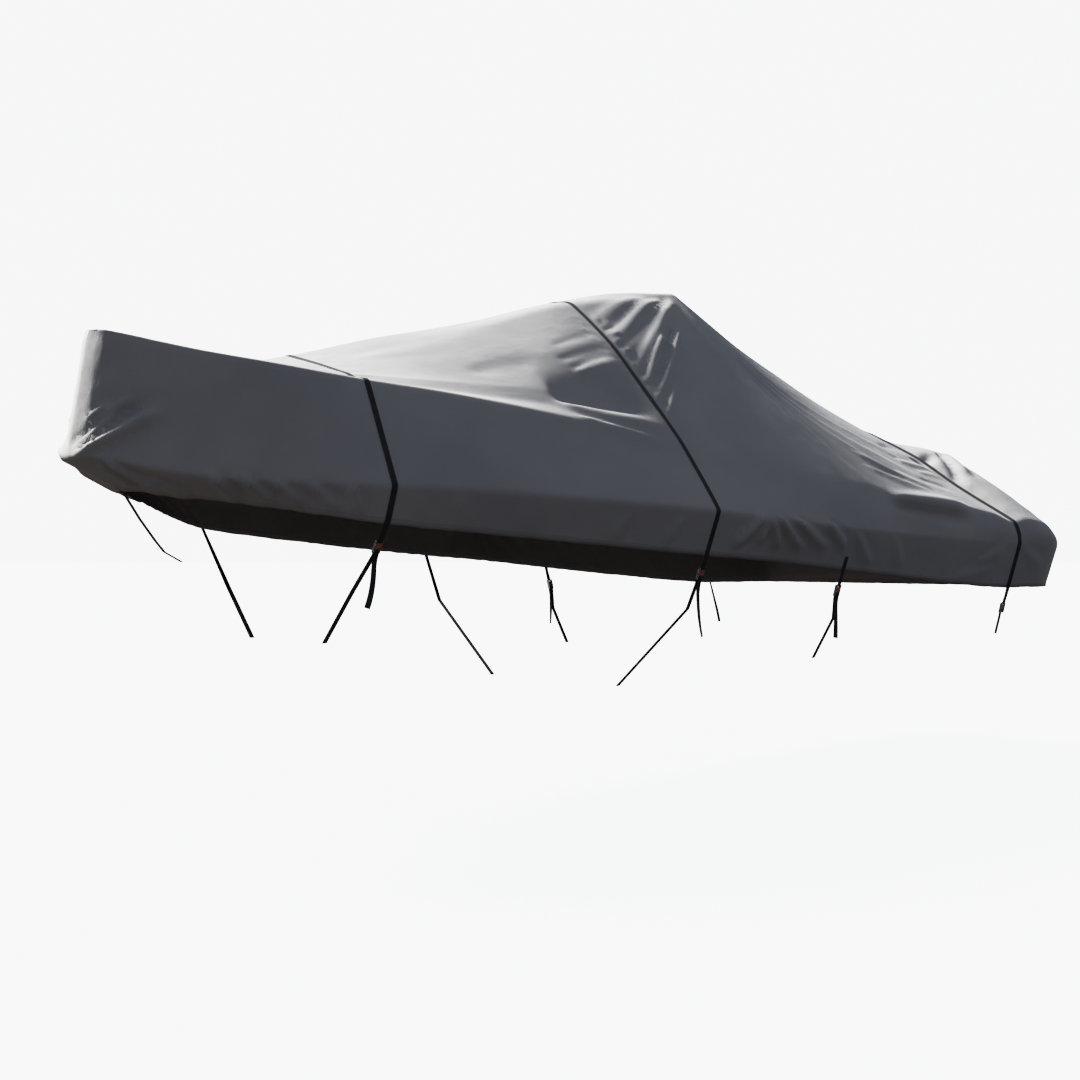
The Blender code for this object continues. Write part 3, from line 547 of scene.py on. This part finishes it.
ACROSS = Vector((1.0, 0.0, 0.0))
PLUMB = Vector((0.0, 0.0, -1.0))
WEB_STEP = 0.016         # longest face along a strap
TURN_STEPS = 10
TAIL_STEPS = 18
LAP_AT = (0.45, 1.0)     # parts of the lap's length where it has points
# How far each strap's aft edge stands up from the cloth, as a part of its width.
TILTS = {"front": 0.0, "mid": 0.0, "rear": 0.30}
# Half of the webbing's section as (across, out) in halves of its width and thickness.
WEB_SECTION = ((-1.0, 0.0), (-0.985, 0.7), (-0.93, 1.0), (-0.5, 1.0), (0.0, 1.0),
               (0.5, 1.0), (0.93, 1.0), (0.985, 0.7), (1.0, 0.0))


def strap_mesh(name, middles, halves):
    """Webbing with rounded edges along a path; halves are its half-width vectors."""
    fine, wide = [middles[0]], [halves[0]]
    for k in range(len(middles) - 1):
        parts = max(1, math.ceil((middles[k + 1] - middles[k]).length / WEB_STEP))
        for q in range(1, parts + 1):
            fine.append(middles[k].lerp(middles[k + 1], q / parts))
            wide.append(halves[k].lerp(halves[k + 1], q / parts).normalized() * (WEB_WIDTH / 2))
    outline = list(WEB_SECTION) + [(x, -y) for x, y in reversed(WEB_SECTION[1:-1])]
    verts, lengths = [], [0.0]
    for k, middle in enumerate(fine):
        run = (fine[min(len(fine) - 1, k + 1)] - fine[max(0, k - 1)]).normalized()
        normal = run.cross(wide[k]).normalized()
        verts += [middle + wide[k] * x + normal * (y * WEB_THICK / 2) for x, y in outline]
        lengths.append(lengths[-1] + (fine[min(len(fine) - 1, k + 1)] - middle).length)
    around = len(outline)
    faces = [(k * around + j, k * around + (j + 1) % around, (k + 1) * around + (j + 1) % around,
              (k + 1) * around + j) for k in range(len(fine) - 1) for j in range(around)]
    faces += [tuple(range(around)), tuple(range((len(fine) - 1) * around, len(fine) * around))]
    mesh = bpy.data.meshes.new(name)
    mesh.from_pydata(verts, [], faces)
    bm = bmesh.new()
    bm.from_mesh(mesh)
    bmesh.ops.recalc_face_normals(bm, faces=bm.faces)
    bm.to_mesh(mesh)
    bm.free()
    uvs = [(lengths[k], outline[j][0] * WEB_WIDTH / 2) for k in range(len(fine)) for j in range(around)]
    set_uvs(mesh, "weave", np.array(uvs))
    return mesh, lengths[-1]


def add_strap(name, middles, halves, material, held, node):
    """A strap's webbing piece along its path, put in place of the model's node."""
    mesh, length = strap_mesh(name, middles, halves)
    made = piece(name, mesh, material, "webbing", node)


def arc(centre, first, second, radius, start, end, steps):
    """Points from start to end, in degrees from the first axis towards the second."""
    turns = [math.radians(start + (end - start) * k / steps) for k in range(steps + 1)]
    return [centre + (first * math.cos(a) + second * math.sin(a)) * radius for a in turns]


def model_hem(strap, side):
    """Where the model's strap leaves the hem: the same sum as the model's own."""
    edges = [[Vector(cloth_point(side, strap.s + d, w)) for w in (0, 1 / MODEL_SKIRT_STEPS)]
             for d in (-PRESS_HALF, PRESS_HALF)]
    half = (edges[1][0] - edges[0][0]).normalized()
    start, above = ((edges[0][k] + edges[1][k]) / 2 for k in (0, 1))
    out = (above - start).normalized().cross(half).normalized()
    out = out if out.y * side > 0 else -out
    return start + out * (WEB_GAP + WEB_THICK / 2)


def buckle_axes(strap, side):
    """Origin and axes of a buckle: down the strap, out from the boat."""
    at = place(strap.s, side * strap.buckle_y, strap.buckle_h)
    down = (at - model_hem(strap, side)).normalized()
    out = ACROSS.cross(down)
    out = out if out.y * side > 0 else -out
    reach = BAR_AT[1] + BAR_RADIUS + WEB_CLEAR + WEB_THICK / 2
    return at - down * BAR_AT[0] - out * reach, down, out


def lap_round_bar(origin, down, out):
    """End of the upper webbing: round the buckle's bar and back against itself."""
    radius = BAR_RADIUS + WEB_CLEAR + WEB_THICK / 2
    bar = origin + down * BAR_AT[0] + out * BAR_AT[1]
    turn = arc(bar, out, down, radius, 0, 180, TURN_STEPS)
    layer = out * (radius - (WEB_THICK + SEAM_GAP))
    return turn + [bar + layer - down * (LAP_LENGTH * u) for u in LAP_AT]


def lower_path(strap, axes, side):
    """Lower webbing from its tail's end up over the cam and down to its far end, with half widths."""
    origin, down, out = axes
    radius = CAM_RADIUS + WEB_CLEAR + WEB_THICK / 2
    cam = origin + down * CAM_AT[0] + out * CAM_AT[1]
    front = cam + out * radius
    tail, turned = [], []
    for k in range(1, TAIL_STEPS + 1):
        u = k / TAIL_STEPS
        way = down.lerp(PLUMB, float(ease(2.5 * u))) + ACROSS * (strap.sway * u * u)
        tail.append((tail[-1] if tail else front) + way.normalized() * (strap.tail / TAIL_STEPS))
        angle = math.radians(strap.twist) * u ** 1.5
        turned.append((ACROSS * math.cos(angle) + out * math.sin(angle)) * (WEB_WIDTH / 2))
    turn = arc(cam, out, -down, radius, 0, 180, TURN_STEPS)
    behind = turn[-1] + down * (BUCKLE_LENGTH - CAM_AT[0] + BEHIND_BUCKLE)
    ends = [place(strap.s, side * strap.turn_y, strap.turn_h), place(strap.s, side * strap.end_y, strap.end_h)]
    hanging = strap.tail > 0
    path = tail[::-1] * hanging + turn + [behind] + ends
    flat = [ACROSS * (WEB_WIDTH / 2)] * (len(turn) + 3)
    return path, turned[::-1] * hanging + flat


def over_cloth(grid, s, columns, side, tilt=0.0):
    """Line of the webbing's middle on the folded cloth at a station, and its half widths.

    tilt is how far the webbing's aft edge stands up from the cloth, as a part of its width.
    """
    points, index, stations = grid[0], grid[1], grid[5]
    i = int(np.abs(stations - s).argmin())
    fore, aft = ([Vector(p) for p in points[index[i + k][columns]]] for k in (-1, 1))
    middles = [(a + b) / 2 for a, b in zip(fore, aft)]
    halves = [(b - a).normalized() * (WEB_WIDTH / 2) for a, b in zip(fore, aft)]
    lifted = []
    for k, middle in enumerate(middles):
        run = middles[min(len(middles) - 1, k + 1)] - middles[max(0, k - 1)]
        out = run.cross(halves[k]).normalized() * -side
        lifted.append(middle + out * (WEB_GAP + WEB_THICK / 2 + tilt * WEB_WIDTH / 2))
        halves[k] = (halves[k] + out * (tilt * WEB_WIDTH / 2)).normalized() * (WEB_WIDTH / 2)
    return lifted, halves


def make_webbing(grid, material):
    """Every strap, tab and tie."""
    flat = [ACROSS * (WEB_WIDTH / 2)]
    for strap in OVER_STRAPS:
        axes = buckle_axes(strap, PORT)
        lap = lap_round_bar(*axes)[::-1]
        over, widths = over_cloth(grid, strap.s, slice(None), STARBOARD, TILTS[strap.name])
        ends = [place(strap.s, strap.turn_y, strap.turn_h), place(strap.s, strap.end_y, strap.end_h)]
        add_strap(f"over_strap_{strap.name}", lap + over + ends, flat * len(lap) + widths + flat * len(ends),
                  material, "stretched", f"strap_{strap.name}")
        add_strap(f"lower_strap_{strap.name}", *lower_path(strap, axes, PORT), material, "hung",
                  f"tie_{strap.name}")
    for side, name in ((PORT, "port"), (STARBOARD, "starboard")):
        axes = buckle_axes(SIDE_STRAP, side)
        lap = lap_round_bar(*axes)[::-1]
        columns = slice(0, SIDE_SEWN + 1) if side == PORT else slice(-1, -SIDE_SEWN - 2, -1)
        sewn, widths = over_cloth(grid, SIDE_STRAP.s, columns, -side)
        add_strap(f"side_tab_{name}", lap + sewn, flat * len(lap) + widths, material, "stretched",
                  f"tab_{name}")
        add_strap(f"side_strap_{name}", *lower_path(SIDE_STRAP, axes, side), material, "hung", f"tie_{name}")
    bow = [place(s, 0.0, h) for s, h in BOW_STRAP]
    add_strap("bow_strap", bow, [Vector((0, WEB_WIDTH / 2, 0))] * len(bow), material, "stretched", "tie_bow")


# ------------------------------------------------------------------ materials
class Graph:
    """A material's nodes: each call adds one and joins or sets its inputs."""

    def __init__(self, name):
        self.material = bpy.data.materials.new(name)
        self.material.use_nodes = True
        self.tree = self.material.node_tree
        self.shader = self.tree.nodes["Principled BSDF"]

    def join(self, node, inputs):
        for name, value in inputs.items():
            socket = node.inputs[name] if isinstance(name, int) else node.inputs[name.replace("_", " ")]
            if isinstance(value, bpy.types.NodeSocket):
                self.tree.links.new(value, socket)
            else:
                socket.default_value = value

    def add(self, kind, inputs=None, output=0, **settings):
        node = self.tree.nodes.new(kind)
        for name, value in settings.items():
            setattr(node, name, value)
        self.join(node, inputs or {})
        return node.outputs[output]

    def place(self):
        """Where a point is on its object."""
        return self.add("ShaderNodeTexCoord", output=3)

    def maths(self, operation, *values):
        return self.add("ShaderNodeMath", dict(enumerate(values)), operation=operation)

    def step(self, value, low, high):
        """0 to 1 as the value goes from low to high."""
        return self.add("ShaderNodeMapRange", {"Value": value, "From_Min": low, "From_Max": high},
                        interpolation_type="SMOOTHSTEP")

    def spread(self, value, low, high):
        """From low to high as the value goes from 0 to 1."""
        return self.add("ShaderNodeMapRange", {"Value": value, "To_Min": low, "To_Max": high})

    def wave(self, vector, scale, distortion, way, detail=2.0):
        return self.add("ShaderNodeTexWave", {"Vector": vector, "Scale": scale, "Distortion": distortion,
                                              "Detail": detail}, output=1, bands_direction=way)

    def noise(self, vector, scale, detail=2.0, roughness=0.5):
        return self.add("ShaderNodeTexNoise",
                        {"Vector": vector, "Scale": scale, "Detail": detail, "Roughness": roughness})

    def scaled(self, vector, scale):
        return self.add("ShaderNodeMapping", {"Vector": vector, "Scale": scale})

    def mix(self, factor, low, high):
        return self.add("ShaderNodeMix", {0: factor, 6: low, 7: high}, output=2, data_type="RGBA")

    def bump(self, height, distance, strength=1.0, normal=None):
        inputs = {"Height": height, "Distance": distance, "Strength": strength}
        if normal:
            inputs["Normal"] = normal
        return self.add("ShaderNodeBump", inputs)


CLOTH_LIGHT = (0.160, 0.158, 0.156, 1.0)
CLOTH_DARK = (0.138, 0.137, 0.138, 1.0)
CLOTH_DUST = (0.200, 0.195, 0.188, 1.0)
# painted shade: the darker colour of the hem's band
HEM_SHADE = (0.085, 0.084, 0.084, 1.0)
WEB_BLACK = (0.007, 0.007, 0.008, 1.0)
WEB_FADED = (0.013, 0.013, 0.014, 1.0)
WEB_SELVEDGE = (0.020, 0.020, 0.021, 1.0)
STEEL_DARK = (0.075, 0.072, 0.072, 1.0)
STEEL_WORN = (0.42, 0.41, 0.40, 1.0)
LEVER_RED = (0.155, 0.030, 0.022, 1.0)
LEVER_FADED = (0.24, 0.075, 0.055, 1.0)
HEM_WIDTH, STITCH_IN = 0.026, 0.004      # metres, as are the distances and lengths in the materials


def cloth_material():
    """Woven polyester: fine plain weave, soft dust and fading, a doubled hem with a line of stitches, and
    painted shade on the hem's band.
    """
    g = Graph("cover_polyester")
    place_at = g.place()
    weave = g.add("ShaderNodeUVMap", uv_map="weave")
    hem = g.add("ShaderNodeUVMap", uv_map="hem")
    fade = g.noise(place_at, 1.6, 3.0, 0.55)
    grain = g.noise(g.scaled(weave, (900.0, 260.0, 1.0)), 1.0, 1.0)
    dust = g.noise(place_at, 7.0, 4.0, 0.6)
    colour = g.mix(g.step(fade, 0.35, 0.65), CLOTH_DARK, CLOTH_LIGHT)
    colour = g.mix(g.maths("MULTIPLY", g.step(dust, 0.55, 0.8), 0.20), colour, CLOTH_DUST)
    colour = g.mix(g.maths("MULTIPLY", g.step(grain, 0.35, 0.7), 0.35), colour, CLOTH_DARK)
    run = g.add("ShaderNodeSeparateXYZ", {"Vector": hem}, output=0)
    rise = g.add("ShaderNodeSeparateXYZ", {"Vector": hem}, output=1)
    doubled_hem_and_shade = g.step(rise, HEM_WIDTH + 0.002, HEM_WIDTH)
    # painted shade: the hem's band is darkened towards HEM_SHADE; the same mask also gives the hem's real step
    # in the bump
    colour = g.mix(g.maths("MULTIPLY", doubled_hem_and_shade, 0.35), colour, HEM_SHADE)
    g.join(g.shader, {"Base_Color": colour, "Roughness": g.spread(dust, 0.72, 0.90),
                      "Sheen_Weight": 0.04, "Sheen_Roughness": 0.5, "Specular_IOR_Level": 0.15})
    threads = g.maths("ADD", *(g.wave(weave, 140.0, 0.6, way, 1.0) for way in ("X", "Y")))
    crumple = g.noise(g.scaled(place_at, (1.0, 1.4, 1.4)), 26.0, 4.0, 0.6)
    soft = g.noise(g.scaled(place_at, (0.7, 1.3, 1.3)), 7.0, 2.0, 0.5)
    off_line = g.maths("ABSOLUTE", g.maths("SUBTRACT", rise, HEM_WIDTH - STITCH_IN))
    dashes = g.step(g.maths("SINE", g.maths("MULTIPLY", run, 1600.0)), -0.6, 0.2)
    stitch = g.maths("MULTIPLY", g.step(off_line, 0.0012, 0.0004), dashes)
    normal = g.bump(soft, 0.006, 0.35)
    normal = g.bump(crumple, 0.002, 0.30, normal)
    normal = g.bump(doubled_hem_and_shade, 0.0012, 0.8, normal)
    normal = g.bump(stitch, 0.0006, 0.8, normal)
    normal = g.bump(threads, 0.0004, 0.35, normal)
    g.join(g.shader, {"Normal": normal})
    return g.material


def webbing_material():
    """Black webbing with its ribs across and a thicker selvedge."""
    g = Graph("black_webbing")
    weave = g.add("ShaderNodeUVMap", uv_map="weave")
    place_at = g.place()
    ribs, rows = g.wave(weave, 160.0, 0.3, "X"), g.wave(weave, 75.0, 0.2, "Y")
    across = g.maths("ABSOLUTE", g.add("ShaderNodeSeparateXYZ", {"Vector": weave}, output=1))
    selvedge = g.step(across, 0.0095, 0.0105)
    fade = g.noise(place_at, 14.0, 3.0, 0.6)
    colour = g.mix(g.step(fade, 0.4, 0.7), WEB_BLACK, WEB_FADED)
    colour = g.mix(g.maths("MULTIPLY", selvedge, 0.4), colour, WEB_SELVEDGE)
    g.join(g.shader, {"Base_Color": colour, "Specular_IOR_Level": 0.12, "Roughness": g.spread(fade, 0.55, 0.8)})
    normal = g.bump(g.maths("MULTIPLY", ribs, rows), 0.0005, 0.6)
    g.join(g.shader, {"Normal": g.bump(selvedge, 0.0003, 0.6, normal)})
    return g.material


def metal_material():
    """Dark plated steel, bright where it is worn."""
    g = Graph("buckle_steel")
    place_at = g.place()
    wear = g.noise(place_at, 160.0, 4.0, 0.65)
    colour = g.mix(g.step(wear, 0.48, 0.62), STEEL_DARK, STEEL_WORN)
    g.join(g.shader, {"Base_Color": colour, "Metallic": 0.9, "Roughness": g.spread(wear, 0.28, 0.55),
                      "Normal": g.bump(wear, 0.0003, 0.4)})
    return g.material


def lever_material():
    """Dull red-brown moulding, faded by the sun."""
    g = Graph("lever_moulding")
    place_at = g.place()
    fade = g.noise(place_at, 90.0, 3.0, 0.6)
    colour = g.mix(g.step(fade, 0.4, 0.65), LEVER_RED, LEVER_FADED)
    g.join(g.shader, {"Base_Color": colour, "Specular_IOR_Level": 0.4, "Roughness": g.spread(fade, 0.4, 0.6),
                      "Normal": g.bump(fade, 0.0002, 0.4)})
    return g.material


def dress_hardware():
    """Buckles and levers keep the model's shape and take these materials."""
    metal, moulding = metal_material(), lever_material()
    for name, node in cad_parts.items():
        if name.startswith(("buckle", "lever")):
            node.data.materials.clear()
            node.data.materials.append(metal if name.startswith("buckle") else moulding)


# ------------------------------------------------------------------ stage, light and camera
CAMERA_AT = (-6.021, -5.626, -1.440)
CAMERA_LOOK = (0.6678, 0.7443, 0.00995)
SUN_FROM = (-0.29, 0.68, 0.675)
SUN_STRENGTH = 29.5
SUN_ANGLE = 9.0          # degrees
SUN_COLOUR = (1.0, 0.985, 0.96)
SKY = (0.45, 0.51, 0.63, 1.0)
BACKDROP = (2.0, 2.02, 2.04, 1.0)
FLOOR_COLOUR = (0.034, 0.029, 0.027, 1.0)
FLOOR_GLOW, FLOOR_GLOW_COLOUR = 2.0, (0.960, 0.988, 1.0, 1.0)
# The light that shows as white, and how much of white each amount of light shows as.
WHITE = 3.0
HIGHLIGHTS = ((0.15, 0.15), (0.30, 0.30), (0.55, 0.55), (1.0, 0.78), (1.5, 0.87), (2.2, 0.94))


def light_sky(tree):
    """A cool sky that lights the cover, in front of a pale backdrop."""
    seen, mix = tree.nodes.new("ShaderNodeLightPath"), tree.nodes.new("ShaderNodeMix")
    mix.data_type = "RGBA"
    mix.inputs[6].default_value, mix.inputs[7].default_value = SKY, BACKDROP
    tree.links.new(seen.outputs[0], mix.inputs[0])
    tree.links.new(mix.outputs[2], tree.nodes["Background"].inputs["Color"])


def make_stage():
    """Pale floor, sky and one broad sun, high on the starboard bow."""
    bpy.ops.mesh.primitive_plane_add(size=400.0, location=(0.0, 0.0, GROUND))
    floor = bpy.context.object
    floor.name = "floor"
    g = Graph("pale_floor")
    seen = g.add("ShaderNodeLightPath")
    g.join(g.shader, {"Base_Color": FLOOR_COLOUR, "Roughness": 0.95, "Specular_IOR_Level": 0.0,
                      "Emission_Color": FLOOR_GLOW_COLOUR,
                      "Emission_Strength": g.maths("MULTIPLY", seen, FLOOR_GLOW)})
    floor.data.materials.append(g.material)
    world = bpy.data.worlds.new("studio")
    bpy.context.scene.world = world
    world.use_nodes = True
    light_sky(world.node_tree)
    sun = bpy.data.objects.new("key", bpy.data.lights.new("key", "SUN"))
    sun.data.energy = SUN_STRENGTH
    sun.data.angle = math.radians(SUN_ANGLE)
    sun.data.color = SUN_COLOUR
    sun.rotation_euler = Vector(SUN_FROM).to_track_quat("Z", "Y").to_euler()
    bpy.context.scene.collection.objects.link(sun)


def make_camera():
    """From low off the port bow."""
    camera = bpy.data.objects.new("camera", bpy.data.cameras.new("camera"))
    camera.data.lens, camera.data.sensor_width = 50.0, 36.0
    camera.location = CAMERA_AT
    camera.rotation_euler = Vector(CAMERA_LOOK).to_track_quat("-Z", "Y").to_euler()
    bpy.context.scene.collection.objects.link(camera)
    bpy.context.scene.camera = camera


def soften_highlights(view):
    """Roll the lightest tones off gently, so the sunlit cloth keeps its folds."""
    view.view_transform = "Standard"
    view.use_curve_mapping = True
    view.curve_mapping.white_level = (WHITE, WHITE, WHITE)
    curve = view.curve_mapping.curves[3]
    for light, shown in HIGHLIGHTS:
        curve.points.new(light / WHITE, shown)
    view.curve_mapping.update()


def main():
    make_camera()
    make_stage()
    grid = folded_cover()
    cover = make_cover(grid, cloth_material())
    make_webbing(grid, webbing_material())
    dress_hardware()
    soften_highlights(bpy.context.scene.view_settings)


main()
